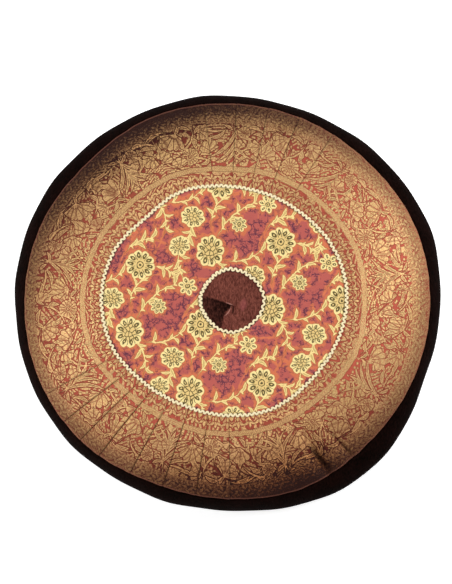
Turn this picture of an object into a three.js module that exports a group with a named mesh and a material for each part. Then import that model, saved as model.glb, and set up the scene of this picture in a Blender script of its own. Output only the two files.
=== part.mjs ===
// Round floor cushion: a filled velvet cover, and sewn on its face a ring of pleated brocade border,
// a printed disc, a velvet centre and two lengths of ric-rac braid. Millimetres, +Z up, lying on its back.
import * as THREE from 'three';

// Radii round the face, one row for each sixteenth of a turn, counted anticlockwise from +X.
// outline: widest reach of the velvet wall; seam: outer edge of the brocade;
// stripe: plain gold stripe in the brocade; print: edge of the printed disc.
const radiiRows = [
  { outline: 303, seam: 284, stripe: 190, print: 165 },
  { outline: 309, seam: 285, stripe: 192, print: 164 },
  { outline: 306, seam: 281, stripe: 188, print: 159 },
  { outline: 301, seam: 282, stripe: 186, print: 157 },
  { outline: 302, seam: 283, stripe: 183, print: 158 },
  { outline: 303, seam: 284, stripe: 189, print: 163 },
  { outline: 304, seam: 279, stripe: 190, print: 160 },
  { outline: 305, seam: 283, stripe: 197, print: 170 },
  { outline: 300, seam: 283, stripe: 200, print: 173 },
  { outline: 298, seam: 283, stripe: 199, print: 171 },
  { outline: 294, seam: 280, stripe: 188, print: 162 },
  { outline: 290, seam: 272, stripe: 185, print: 158 },
  { outline: 290, seam: 274, stripe: 186, print: 160 },
  { outline: 301, seam: 280, stripe: 186, print: 163 },
  { outline: 308, seam: 278, stripe: 185, print: 160 },
  { outline: 298, seam: 281, stripe: 192, print: 162 },
];

// Height of the velvet face at even steps from the tufted middle to the brocade's outer edge.
const faceHeights = [107, 111.4, 116.8, 120.8, 123.4, 124.7, 124.3, 121.8, 116.6, 108.2, 94];

// Side wall from the brocade's edge down to the back seam; out is the share of the way from seam to outline.
const wallRows = [
  { height: 84.0, out: 0.52 },
  { height: 70.0, out: 0.92 },
  { height: 55.0, out: 1.0 },
  { height: 38.0, out: 0.88 },
  { height: 22.0, out: 0.45 },
];
const backEdge = { height: 8.0, share: 0.9 }; // share of the outline radius
const floorEdge = { height: 0.0, share: 0.81 };

// Angles of the pleats in the brocade: pleat number and its angle in degrees, evenly spaced between rows.
const pleatCount = 39;
const pleatRows = [
  { pleat: 0, angle: 48.5 },
  { pleat: 1, angle: 57.7 },
  { pleat: 2, angle: 68.6 },
  { pleat: 5, angle: 96.6 },
  { pleat: 18, angle: 216.6 },
  { pleat: 20, angle: 230.5 },
  { pleat: 22, angle: 250.9 },
  { pleat: 25, angle: 280.9 },
  { pleat: 27, angle: 300.4 },
  { pleat: 28, angle: 308.5 },
  { pleat: 39, angle: 408.5 },
];
const goreShares = [0.0, 0.48, 0.95]; // places across one gore: valley, middle, fold edge
const goreRise = [0.0, 0.6, 1.1]; // how far each of them stands up

// Folds where the brocade is drawn in at its edge. They grow from the shares of the face start to full.
const creaseRows = [
  { pleat: 27, depth: 8.5, halfWidth: 9.0, start: 0.68, full: 0.86 },
  { pleat: 28, depth: 3.5, halfWidth: 7.0, start: 0.7, full: 0.84 },
];
const lumps = { height: 1.6, count: 3, phase: 0.6 };

const centre = { x: 7, y: -1, radius: 43.5, square: 1 }; // square: a little wider along x and y
const clothGap = 0.5; // vertical gap between the cover and what lies on it
const cloth = 1.3; // thickness of brocade, print and centre velvet
const foldedEdge = 0.5; // extra thickness of the brocade's turned outer edge
const jointHalf = 0.25; // half the gap where two cloths meet edge to edge
const braid = { width: 2.9, swing: 1.45, thickness: 1.4, lift: 2.25, teeth: 156, centreTeeth: 40 };
const printColumns = 78;
const centreColumns = 52;

const turn = Math.PI * 2;
const radians = (degrees) => (degrees * Math.PI) / 180;
const mix = (a, b, t) => a + (b - a) * t;

function smoothstep(low, high, x) {
  const t = Math.min(1, Math.max(0, (x - low) / (high - low)));
  return t * t * (3 - 2 * t);
}

// A smooth curve through b (t = 0) and c (t = 1), with a and d as their neighbours.
function cubic(a, b, c, d, t) {
  return b + 0.5 * t * (c - a + t * (2 * a - 5 * b + 4 * c - d + t * (3 * (b - c) + d - a)));
}

// One of the named radii at an angle, on a smooth closed curve through the rows.
function radiusAt(name, angle) {
  const n = radiiRows.length;
  const place = ((((angle / turn) * n) % n) + n) % n;
  const i = Math.floor(place);
  const at = (k) => radiiRows[(i + k + n) % n][name];
  return cubic(at(-1), at(0), at(1), at(2), place - i);
}

// The middle is level, so the row before the first repeats the second; past the edge the slope runs on.
function faceHeight(share) {
  const last = faceHeights.length - 1;
  const place = share * last;
  const i = Math.min(last - 1, Math.floor(place));
  const beyond = 2 * faceHeights[last] - faceHeights[last - 1];
  const at = (k) => (k > last ? beyond : faceHeights[Math.abs(k)]);
  return cubic(at(i - 1), at(i), at(i + 1), at(i + 2), place - i);
}

function pleatAngle(pleat) {
  const i = pleatRows.findLastIndex((row) => row.pleat <= pleat && row.pleat < pleatCount);
  const [a, b] = [pleatRows[i], pleatRows[i + 1]];
  return radians(mix(a.angle, b.angle, (pleat - a.pleat) / (b.pleat - a.pleat)));
}

function creaseDepth(share, radius, angle) {
  return creaseRows.reduce((sum, { pleat, depth, halfWidth, start, full }) => {
    const off = angle - pleatAngle(pleat);
    const across = (radius * Math.atan2(Math.sin(off), Math.cos(off))) / halfWidth;
    return sum + depth * smoothstep(start, full, share) * Math.exp(-across * across);
  }, 0);
}

// A point on the velvet face, raised by lift.
function facePoint(radius, angle, lift = 0) {
  const share = radius / radiusAt('seam', angle);
  const lump = lumps.height * share * (1.2 - share) * Math.sin(lumps.count * angle + lumps.phase);
  const height = faceHeight(share) + lump - creaseDepth(share, radius, angle) + lift;
  return new THREE.Vector3(radius * Math.cos(angle), radius * Math.sin(angle), height);
}

// Edge of the velvet centre, which lies a little off the middle of the face.
function centreEdge(angle) {
  const along = centre.x * Math.cos(angle) + centre.y * Math.sin(angle);
  const across = centre.y * Math.cos(angle) - centre.x * Math.sin(angle);
  return along + Math.sqrt(centre.radius ** 2 - across ** 2) + centre.square * Math.cos(4 * angle);
}

// Radii where the cloths have their rows of points, each a function of the angle.
const centreStations = [(a) => centreEdge(a) * 0.5, centreEdge];
const printStations = [0, 0.25, 0.5, 0.75, 1].map((t) => (a) => mix(centreEdge(a), radiusAt('print', a), t));
const ringStations = [
  (a) => radiusAt('print', a),
  (a) => radiusAt('stripe', a),
  ...[0.3, 0.56, 0.78, 0.92, 1].map((t) => (a) => mix(radiusAt('stripe', a), radiusAt('seam', a), t)),
];

// Columns that follow the gores, and columns spaced evenly.
const goreColumns = [];
for (let gore = 0; gore < pleatCount; gore += 1) {
  goreShares.forEach((share, k) => {
    goreColumns.push({ angle: mix(pleatAngle(gore), pleatAngle(gore + 1), share), rise: goreRise[k] });
  });
}
function evenColumns(count) {
  return Array.from({ length: count }, (_, k) => ({ angle: (k / count) * turn }));
}

// A closed surface from rows of points. A row of one point is a pole, and if there is none the last row
// joins the first. Rows from underside on are cut into triangles the other way, like the face they lie on.
function closedSurface(rows, underside = rows.length) {
  const points = [];
  const starts = rows.map((row) => points.push(...row) - row.length);
  const at = (row, column) => starts[row] + (rows[row].length === 1 ? 0 : column);
  const looped = rows[0].length > 1;
  const index = [];
  for (let r = 0; r < rows.length - (looped ? 0 : 1); r += 1) {
    const s = (r + 1) % rows.length;
    const count = Math.max(rows[r].length, rows[s].length);
    for (let c = 0; c < count; c += 1) {
      const d = (c + 1) % count;
      const [a, b, e, f] = [at(r, c), at(s, c), at(s, d), at(r, d)];
      const halves = r < underside ? [[a, b, e], [a, e, f]] : [[a, b, f], [b, e, f]];
      halves.filter((half) => new Set(half).size === 3).forEach((half) => index.push(...half));
    }
  }
  const geometry = new THREE.BufferGeometry().setFromPoints(points);
  geometry.setIndex(index);
  geometry.computeVertexNormals();
  return geometry;
}

function cushionCover() {
  const face = [...centreStations, ...printStations.slice(1), ...ringStations.slice(1)];
  const rows = [[facePoint(0, 0)]];
  face.forEach((radius) => rows.push(goreColumns.map(({ angle }) => facePoint(radius(angle), angle))));
  const level = (reach, height) =>
    goreColumns.map(({ angle }) => {
      const radius = reach(angle);
      return new THREE.Vector3(radius * Math.cos(angle), radius * Math.sin(angle), height);
    });
  wallRows.forEach(({ height, out }) => {
    rows.push(level((a) => mix(radiusAt('seam', a), radiusAt('outline', a), out), height));
  });
  rows.push(level((a) => radiusAt('outline', a) * backEdge.share, backEdge.height));
  rows.push(level((a) => radiusAt('outline', a) * floorEdge.share, floorEdge.height));
  rows.push([new THREE.Vector3(0, 0, floorEdge.height)]);
  return closedSurface(rows);
}

// A cloth with a hole, lying on the face between its first and last station.
function ringCloth(stations, columns, topLift) {
  const inset = (k) => (k === 0 ? jointHalf : k === stations.length - 1 ? -jointHalf : 0);
  const row = (k, lift) =>
    columns.map((column) => facePoint(stations[k](column.angle) + inset(k), column.angle, lift(column, k)));
  const top = stations.map((_, k) => row(k, topLift));
  const under = stations.map((_, k) => row(k, () => clothGap)).reverse();
  return closedSurface([...top, ...under], stations.length);
}

function brocadeRing() {
  const last = ringStations.length - 1;
  return ringCloth(ringStations, goreColumns, ({ rise }, k) => {
    const pressed = k === 0 ? 0 : k === last ? 0.5 : 1; // the braid and the edge seam hold the pleats down
    return clothGap + cloth + rise * pressed + (k === last ? foldedEdge : 0);
  });
}

function printedDisc() {
  return ringCloth(printStations, evenColumns(printColumns), () => clothGap + cloth);
}

function velvetCentre() {
  const columns = evenColumns(centreColumns);
  const row = (radius, lift) => columns.map(({ angle }) => facePoint(radius(angle), angle, lift));
  const edge = (angle) => centreEdge(angle) - jointHalf;
  const side = (lift) => [[facePoint(0, 0, lift)], row(centreStations[0], lift), row(edge, lift)];
  const top = side(clothGap + cloth);
  return closedSurface([...top, ...side(clothGap).reverse()], top.length);
}

// Ric-rac: a flat braid that swings from side to side over the edge it covers.
function ricRac(edge, teeth) {
  const half = braid.width / 2;
  const corners = [
    { side: -half, lift: braid.lift + braid.thickness },
    { side: half, lift: braid.lift + braid.thickness },
    { side: half, lift: braid.lift },
    { side: -half, lift: braid.lift },
  ];
  const rows = corners.map(({ side, lift }) =>
    Array.from({ length: teeth * 2 }, (_, k) => {
      const angle = (k / (teeth * 2)) * turn;
      const swing = k % 2 === 0 ? braid.swing : -braid.swing;
      return facePoint(edge(angle) + swing + side, angle, lift);
    }),
  );
  return closedSurface(rows);
}

const finishes = {
  velvet: { color: '#2c1310', roughness: 0.95, metalness: 0 },
  brocade: { color: '#b58b60', roughness: 0.5, metalness: 0.35 },
  print: { color: '#c97a55', roughness: 0.85, metalness: 0 },
  centre_velvet: { color: '#6a3b2f', roughness: 0.9, metalness: 0 },
  braid: { color: '#f0e3bb', roughness: 0.8, metalness: 0 },
};

function piece(name, finish, geometry) {
  const mesh = new THREE.Mesh(geometry, new THREE.MeshStandardMaterial(finishes[finish]));
  mesh.name = name;
  return mesh;
}

const cushion = new THREE.Group();
cushion.add(
  piece('cushion_cover', 'velvet', cushionCover()),
  piece('brocade_ring', 'brocade', brocadeRing()),
  piece('printed_disc', 'print', printedDisc()),
  piece('velvet_centre', 'centre_velvet', velvetCentre()),
  piece('outer_ricrac', 'braid', ricRac((a) => radiusAt('print', a), braid.teeth)),
  piece('centre_ricrac', 'braid', ricRac(centreEdge, braid.centreTeeth)),
);

// The origin is under the middle of the cover's box, on the floor.
const box = new THREE.Box3().setFromObject(cushion);
cushion.position.set(-(box.min.x + box.max.x) / 2, -(box.min.y + box.max.y) / 2, 0);

export default cushion;
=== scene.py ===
import functools
import math

import bpy
import numpy as np
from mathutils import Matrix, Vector


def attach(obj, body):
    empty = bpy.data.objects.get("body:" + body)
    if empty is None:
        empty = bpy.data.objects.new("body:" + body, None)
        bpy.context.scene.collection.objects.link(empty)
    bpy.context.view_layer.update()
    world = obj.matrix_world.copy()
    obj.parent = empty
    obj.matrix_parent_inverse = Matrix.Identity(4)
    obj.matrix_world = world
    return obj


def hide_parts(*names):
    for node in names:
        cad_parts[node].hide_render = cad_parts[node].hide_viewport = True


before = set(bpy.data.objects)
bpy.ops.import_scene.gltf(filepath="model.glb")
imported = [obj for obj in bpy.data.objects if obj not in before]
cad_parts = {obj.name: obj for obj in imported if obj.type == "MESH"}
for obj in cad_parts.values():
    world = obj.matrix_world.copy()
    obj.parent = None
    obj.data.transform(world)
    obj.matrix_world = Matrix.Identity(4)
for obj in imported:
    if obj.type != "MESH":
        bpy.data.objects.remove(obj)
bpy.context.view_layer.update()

scene = bpy.context.scene
tau = 2 * math.pi
mm = 0.001


# Shape of the cushion

shape = {  # millimetres; radii stand at sixteenths of a turn from +X, anticlockwise
    "outline": [303, 309, 306, 301, 302, 303, 304, 305,
                300, 298, 294, 290, 290, 301, 308, 298],
    "seam": [284, 285, 281, 282, 283, 284, 279, 283,
             283, 283, 280, 272, 274, 280, 278, 281],
    "stripe": [190, 192, 188, 186, 183, 189, 190, 197,
               200, 199, 188, 185, 186, 186, 185, 192],
    "print": [165, 164, 159, 157, 158, 163, 160, 170,
              173, 171, 162, 158, 160, 163, 160, 162],
    "faceHeights": [107, 111.4, 116.8, 120.8, 123.4, 124.7, 124.3, 121.8, 116.6, 108.2, 94],
    "wall": [(84, 0.52), (70, 0.92), (55, 1.0), (38, 0.88), (22, 0.45)],  # height, share seam to outline
    "backEdge": (8, 0.9),
    "floorEdge": (0, 0.81),
    "seamLead": 0.965,  # share of the seam's radius from which the curve of the wall is led
    "under": 0.7,  # the same of the outline, underneath
    "lump": (1.6, 3, 0.6),  # height, count, phase
    "creases": [(27, 8.5, 9.0, 0.68, 0.86),  # pleat, depth, half width, and where it starts and is full
                (28, 3.5, 7.0, 0.7, 0.84)],
    "centre": (7, -1, 43.5, 1),  # x, y, radius, how much wider along x and y
}
pleatPlaces = [(0, 48.5), (1, 57.7), (2, 68.6), (5, 96.6), (18, 216.6), (20, 230.5), (22, 250.9),
               (25, 280.9), (27, 300.4), (28, 308.5), (39, 408.5)]
pleatCount = 39
pleatAngles = np.radians(np.interp(np.arange(pleatCount + 1), *zip(*pleatPlaces)))


def cubic(a, b, c, d, t):
    return b + 0.5 * t * (c - a + t * (2 * a - 5 * b + 4 * c - d + t * (3 * (b - c) + d - a)))


def radiusAt(name, angle):
    rows = np.array(shape[name]) * mm
    count = len(rows)
    place = np.asarray(angle) / tau * count % count
    i = place.astype(int) % count
    return cubic(rows[i - 1], rows[i], rows[(i + 1) % count], rows[(i + 2) % count], place - i)


def faceHeight(share):
    rows = np.array(shape["faceHeights"]) * mm
    rows = np.concatenate([[rows[1]], rows, [2 * rows[-1] - rows[-2]]])
    place = np.clip(share, 0, 1.05) * (len(shape["faceHeights"]) - 1)
    i = np.minimum(place.astype(int), len(shape["faceHeights"]) - 2)
    return cubic(rows[i], rows[i + 1], rows[i + 2], rows[np.minimum(i + 3, len(rows) - 1)], place - i)


def hump(x, top, width):
    return np.exp(-((x - top) / width) ** 2)


def smooth(low, high, x):
    t = np.clip((x - low) / (high - low), 0, 1)
    return t * t * (3 - 2 * t)


def turned(angle):  # the same angle between minus and plus half a turn
    return (angle + math.pi) % tau - math.pi


def wholeTurn(count):
    return np.linspace(0, tau, count, endpoint=False)


def polar(radius, angle, z):
    return np.stack([radius * np.cos(angle), radius * np.sin(angle), z], -1)


def facePoint(radius, angle):
    share = radius / radiusAt("seam", angle)
    height, count, phase = shape["lump"]
    z = faceHeight(share) + height * mm * share * (1.2 - share) * np.sin(count * angle + phase)
    for pleat, depth, halfWidth, start, full in shape["creases"]:
        across = radius * turned(angle - pleatAngles[pleat])
        z = z - depth * mm * smooth(start, full, share) * hump(across, 0, halfWidth * mm)
    return polar(radius, angle, z)


def centreEdge(angle):
    x, y, radius, square = shape["centre"]
    along = x * np.cos(angle) + y * np.sin(angle)
    across = y * np.cos(angle) - x * np.sin(angle)
    return (along + np.sqrt(radius ** 2 - across ** 2) + square * np.cos(4 * angle)) * mm


# A station runs out from the middle (0) over the centre's edge (1), the print's edge (2), the stripe (3)
# and the seam (4), down the side wall to the floor (11) and back to the middle underneath (12).
def skinPoint(station, angle):
    station, angle = np.broadcast_arrays(np.asarray(station, float), angle)
    rings = [np.zeros_like(angle), centreEdge(angle), *[radiusAt(n, angle) for n in ("print", "stripe", "seam")]]
    radius = rings[0]
    for k in range(4):
        radius = radius + (rings[k + 1] - rings[k]) * np.clip(station - k, 0, 1)
    points = facePoint(radius, angle)
    seam, outline = rings[4], radiusAt("outline", angle)
    knots = [(radius, facePoint(radius, angle)[..., 2]) for radius in (seam * shape["seamLead"], seam)]
    knots += [(seam + (outline - seam) * out, height * mm) for height, out in shape["wall"]]
    knots += [(outline * share, height * mm) for height, share in (shape["backEdge"], shape["floorEdge"])]
    knots += [(outline * shape["under"], 0.0)]
    knots = [np.stack(np.broadcast_arrays(r, z), -1) for r, z in knots]
    for k in range(len(knots) - 3):
        low = 4 + k
        here = (station > low) & (station <= low + 1)
        t = (station - low)[..., None]
        walled = cubic(knots[k], knots[k + 1], knots[k + 2], knots[k + 3], t)
        walled = polar(walled[..., 0], angle, np.maximum(walled[..., 1], 0))
        points = np.where(here[..., None], walled, points)
    under = outline * shape["floorEdge"][1] * np.clip(12 - station, 0, 1)
    return np.where((station > 11)[..., None], polar(under, angle, np.zeros_like(under)), points)


outlinePoints = skinPoint(7, wholeTurn(720))
middle = (outlinePoints.min(0) + outlinePoints.max(0)) / 2 * np.array([1, 1, 0])


# Meshes from rows of points

def placed(name, data):
    made = bpy.data.objects.new(name, data)
    scene.collection.objects.link(made)
    return made


def surfaceMesh(name, rows):
    # a row of one point is a pole; without poles the last row joins the first
    starts = np.cumsum([0] + [len(row) for row in rows])
    faces = []
    looped = len(rows[0]) > 1
    for r in range(len(rows) - (0 if looped else 1)):
        s = (r + 1) % len(rows)
        count = max(len(rows[r]), len(rows[s]))
        c = np.arange(count)
        d = (c + 1) % count
        corners = [starts[r] + c, starts[s] + c, starts[s] + d, starts[r] + d]
        if len(rows[r]) == 1:
            corners = [np.full(count, starts[r]), *corners[1:3]]
        if len(rows[s]) == 1:
            corners = [corners[0], np.full(count, starts[s]), corners[3]]
        faces += np.stack(corners, 1).tolist()
    mesh = bpy.data.meshes.new(name)
    mesh.from_pydata(np.concatenate(rows).tolist(), [], faces)
    mesh.shade_smooth()
    return placed(name, mesh)


# The filled skin, puffed up by a short cloth simulation

puffing = {
    "columns": pleatCount * 5,
    "steps": [(0, 1, 4), (1, 2, 11), (2, 3, 3), (3, 4, 10), (4, 11, 16), (11, 12, 6)],  # from, to, rows
    "held": [(0, 1.0), (1, 0.7), (2, 0.55), (4, 1.0), (10, 0.8)],  # station and how firmly its seam holds
    "heldReach": 0.12,  # of such a seam, in stations
    "rests": 10.5,  # the skin is held from this station on
    "pleatHold": (1.0, 0.35),  # within this many degrees of a pleat, how firmly
    "cloth": {"quality": 5, "mass": 0.3, "tension_stiffness": 12, "compression_stiffness": 12,
              "bending_stiffness": 0.4, "use_pressure": True, "uniform_pressure_force": 4.0},
    "frames": 20,
    "slack": 3.0,  # how far the face starts below its full height, in millimetres
    "mostMove": 6.0,  # millimetres
}


def puffedSkin():
    stations = np.concatenate([np.linspace(a, b, n, endpoint=False) for a, b, n in puffing["steps"]] + [[12.0]])
    angles = wholeTurn(puffing["columns"])
    full = skinPoint(stations[:, None], angles[None, :]) - middle
    firm = np.zeros(len(stations))
    for station, hold in puffing["held"]:
        firm = np.maximum(firm, hold * np.clip(1 - abs(stations - station) / puffing["heldReach"], 0, 1))
    firm[stations >= puffing["rests"]] = 1
    slack = np.where(stations < 4, np.sin(math.pi * np.clip(stations / 4, 0, 1)), 0)
    start = full - np.array([0, 0, 1]) * (slack * puffing["slack"] * mm)[:, None, None]
    rows = [start[0, :1], *start[1:-1], start[-1, :1]]
    skin = surfaceMesh("filling_skin", rows)
    weights = np.concatenate([[firm[0]], np.repeat(firm[1:-1], puffing["columns"]), [firm[-1]]])
    near, pleatHold = puffing["pleatHold"]
    onPleat = np.flatnonzero(np.abs(turned(angles[:, None] - pleatAngles[None, :])).min(1) < math.radians(near))
    for k in np.flatnonzero((stations > 2) & (stations < 4)):
        held = 1 + (k - 1) * puffing["columns"] + onPleat
        weights[held] = np.maximum(weights[held], pleatHold)
    group = skin.vertex_groups.new(name="held")
    for index, weight in enumerate(weights):
        if weight > 0:
            group.add([index], float(weight), "REPLACE")
    cloth = skin.modifiers.new("puff", "CLOTH")
    for name, value in puffing["cloth"].items():
        setattr(cloth.settings, name, value)
    cloth.settings.vertex_group_mass = "held"
    cloth.settings.effector_weights.gravity = 0
    cloth.collision_settings.use_collision = False
    for number in range(1, puffing["frames"] + 1):
        scene.frame_set(number)
    puffed = skin.evaluated_get(bpy.context.evaluated_depsgraph_get()).to_mesh()
    points = np.empty(len(puffed.vertices) * 3)
    puffed.vertices.foreach_get("co", points)
    points = points.reshape(-1, 3)
    scene.frame_set(1)
    bpy.data.objects.remove(skin)
    moved = np.concatenate([np.repeat(points[:1], puffing["columns"], 0), points[1:-1],
                            np.repeat(points[-1:], puffing["columns"], 0)]).reshape(full.shape) - full
    length = np.linalg.norm(moved, axis=-1, keepdims=True)
    print(f"puffed skin: mean move {length.mean() / mm:.2f} mm, most {length.max() / mm:.2f} mm")
    return stations, moved * np.minimum(1, puffing["mostMove"] * mm / np.maximum(length, 1e-9))


skinStations, skinMoves = puffedSkin()


def skinAt(station, angle):
    # the puffed skin at any station and angle, smooth between the simulated points
    station, angle = np.broadcast_arrays(np.asarray(station, float), angle)
    row = np.interp(station, skinStations, np.arange(len(skinStations)))
    i = np.clip(row.astype(int), 0, len(skinStations) - 2)
    count = puffing["columns"]
    place = angle / tau * count % count
    j = place.astype(int) % count
    s, t = (row - i)[..., None], (place - j)[..., None]
    lines = []
    for k in (-1, 0, 1, 2):
        line = np.clip(i + k, 0, len(skinStations) - 1)
        lines.append(cubic(*[skinMoves[line, (j + m) % count] for m in (-1, 0, 1, 2)], t))
    return skinPoint(station, angle) - middle + cubic(*lines, s)


def skinNormals(station, angle):
    step = 0.004
    a = skinAt(np.clip(station + step, 0, 12), angle) - skinAt(np.clip(station - step, 0.001, 12), angle)
    b = skinAt(station, angle + step) - skinAt(station, angle - step)
    n = np.cross(a, b)
    return n / np.maximum(np.linalg.norm(n, axis=-1, keepdims=True), 1e-12)


def lifted(station, angle, lift):
    station, angle, lift = np.broadcast_arrays(np.asarray(station, float), angle, lift)
    return skinAt(station, angle) + skinNormals(np.maximum(station, 0.02), angle) * (lift * mm)[..., None]


def ripple(angle, counts, seed):  # an uneven wave round the cushion, about -1 to 1
    draw = np.random.default_rng(seed)
    waves = [np.sin(n * angle + draw.uniform(0, tau)) * draw.uniform(0.5, 1) for n in counts]
    return sum(waves) / math.sqrt(len(counts))


# Velvet cover

cover = {  # millimetres; places and widths are stations
    "columns": 312,
    "face": [0.5, 1, 1.5, 2, 2.5, 3, 3.25, 3.5, 3.75, 3.9],  # the stations of its rows
    "wall": [(3.96, 4.2, 5), (4.3, 11, 42)],  # from, to and how many rows
    "floor": [11.15, 11.4, 11.7],
    "sunk": 2.6,  # how far it lies below the cloths on the face
    "bared": (3.9, 4.02),  # stations between which it comes up from under them
    "creaseEnd": (3.9, 3.98),  # and between which the room under the creases ends
    "flat": (10.2, 10.8),  # and its gathers and waves die away underneath
    "groove": (1.6, 4.02, 0.07),  # depth, place, width
    "gathers": 0.8,
    "seams": [(1.0, 4.2, 0.5), (0.8, 9.6, 0.7)],  # where it is gathered: how much, place, width
    "wander": (1.1, 7, 2.2),  # height, place, width
}


def velvetCover():
    stations = np.concatenate([cover["face"], *[np.linspace(*rows) for rows in cover["wall"]], cover["floor"]])
    s, a = np.meshgrid(stations, wholeTurn(cover["columns"]), indexing="ij")
    lift = -cover["sunk"] * (1 - smooth(*cover["bared"], s))
    room, reach = brocade["creaseRoom"]
    for _, pleat, _, start, _, _ in brocade["creases"]:
        near = hump(turned(a - pleatAngles[pleat]), 0, math.radians(reach)) * smooth(start - 0.15, start, s)
        lift = lift - room * near * (1 - smooth(*cover["creaseEnd"], s))
    depth, *groove = cover["groove"]
    lift = lift - depth * hump(s, *groove)
    seamPull = sum(share * hump(s, *seam) for share, *seam in cover["seams"])
    lift = lift + cover["gathers"] * seamPull * ripple(a, (61, 83, 97, 118), 3)
    height, *wide = cover["wander"]
    lift = lift + height * hump(s, *wide) * ripple(a, (9, 14, 23), 5)
    lift = lift * (1 - smooth(*cover["flat"], s))
    grid = lifted(s, a, lift)
    grid[..., 2] = np.maximum(grid[..., 2], 0)
    top = lifted(0.0, 0.0, -cover["sunk"])
    return surfaceMesh("velvet_cover", [top[None, :], *grid, np.array([[0.0, 0.0, 0.0]])])


# Cloths on the face

def clothOnFace(name, cloth, lift, pole=False):
    angles, thick = wholeTurn(cloth["columns"]), cloth["thick"]
    s, a = np.meshgrid(np.linspace(*cloth["stations"]), angles, indexing="ij")
    top = lifted(s, a, lift(s, a))
    under = lifted(s, a, lift(s, a) - thick)
    rows = [*top, *under[::-1]]
    if pole:
        high = float(lift(np.array(0.0), np.array(0.0)))
        rows = [lifted(0.0, 0.0, high)[None, :], *rows, lifted(0.0, 0.0, high - thick)[None, :]]
    return surfaceMesh(name, rows)


brocade = {  # millimetres where nothing else is said
    "thick": 0.9,
    "lift": 1.3,
    "across": [0.0, 0.025, 0.06, 0.14, 0.26, 0.4, 0.55, 0.7, 0.82, 0.9, 0.95, 0.982],  # places in one gore
    "height": [-1.5, -0.9, -0.2, 0.15, 0.35, 0.5, 0.6, 0.65, 0.7, 0.8, 0.95, 0.6],  # of the cloth at each place
    "rows": (13, 37),  # inside and outside the stripe
    "from": 2.012,  # the strip's edges, as stations
    "to": 3.985,
    "edgeWave": 0.0036,  # in stations
    "pleatRise": (2.0, 2.35),  # stations between which the pleats come up, and then go down
    "pleatFall": (3.8, 3.98),
    "gatherRise": (3.5, 3.9),
    "creaseFall": (3.86, 3.97),
    "uneven": (0.75, 1.2),  # how high the pleats of one gore stand
    "leanAt": 3.73,  # the station where a leaning crease crosses its pleat
    "moreGathers": (316, 11, 1.4),  # direction and reach in degrees, how much more
    "pleated": [(242, 39, 1.0), (76, 26, 0.85)],  # where pleats show: direction and reach in degrees, how much
    "turnedEdge": (0.5, 0.02),  # height, width in stations
    "gathers": 0.35,
    "creases": [(4.0, 27, 4.0, 3.4, 3.6, 5.0),  # depth, pleat, half width, start, full, lean
                (2.4, 28, 2.2, 3.4, 3.55, 3.0)],
    "creaseRoom": (2.4, 2.6),  # how much further the cover lies below them, within this many degrees
}


def goreGrid():
    # columns of the ring: for each gore its angles, and the share of the gore
    shares = np.array(brocade["across"])
    angles = (pleatAngles[:-1, None] + np.diff(pleatAngles)[:, None] * shares[None, :]).ravel()
    return angles, np.tile(np.array(brocade["height"]), pleatCount)


def pleatFirmness(angle):  # pleats show at the foot and the top of the face, and lie flat at its sides
    foot, top = [share * np.exp(-(turned(angle - math.radians(where)) / math.radians(reach)) ** 6)
                 for where, reach, share in brocade["pleated"]]
    return 0.1 + 0.9 * np.maximum(foot, top)


def creaseAt(pleat, width, start, full, lean, s, a):  # 1 in the bottom of a crease that leans off its pleat
    off = radiusAt("seam", a) * turned(a - pleatAngles[pleat] - np.radians(lean) * (s - brocade["leanAt"]))
    return smooth(start, full, s) * hump(off, 0, width * mm)


def brocadeStrip():
    angles, heights = goreGrid()
    stations = np.concatenate([np.linspace(brocade["from"], 3, brocade["rows"][0], endpoint=False),
                               np.linspace(3, brocade["to"], brocade["rows"][1])])
    s, a = np.meshgrid(stations, angles, indexing="ij")
    draw = np.random.default_rng(11)
    gores = np.repeat(draw.uniform(*brocade["uneven"], pleatCount), len(brocade["across"]))
    along = (0.35 + 0.65 * smooth(*brocade["pleatRise"], s)) * (1 - 0.55 * smooth(*brocade["pleatFall"], s))
    lift = brocade["lift"] + heights[None, :] * gores[None, :] * along * pleatFirmness(a)
    height, width = brocade["turnedEdge"]
    lift = lift + height * hump(s, brocade["to"], width)
    gathered = smooth(*brocade["gatherRise"], s) * (0.65 + 0.35 * ripple(a, (3, 4, 7), 14))
    where, reach, more = brocade["moreGathers"]
    gathered = gathered * (1 + more * hump(turned(a - math.radians(where)), 0, math.radians(reach)))
    lift = lift + brocade["gathers"] * gathered * ripple(a, (58, 71, 86, 103), 12)
    for depth, *crease in brocade["creases"]:
        lift = lift - depth * (1 - 0.6 * smooth(*brocade["creaseFall"], s)) * creaseAt(*crease, s, a)
    wave = brocade["edgeWave"] * smooth(3.9, brocade["to"], s) * ripple(a, (37, 52, 71), 8)
    top = lifted(s + wave, a, lift)
    under = lifted(s + wave, a, lift - brocade["thick"])
    piece = surfaceMesh("brocade_strip", [*top, *under[::-1]])
    layOutStrip(piece, stations, angles)
    return piece


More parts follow.
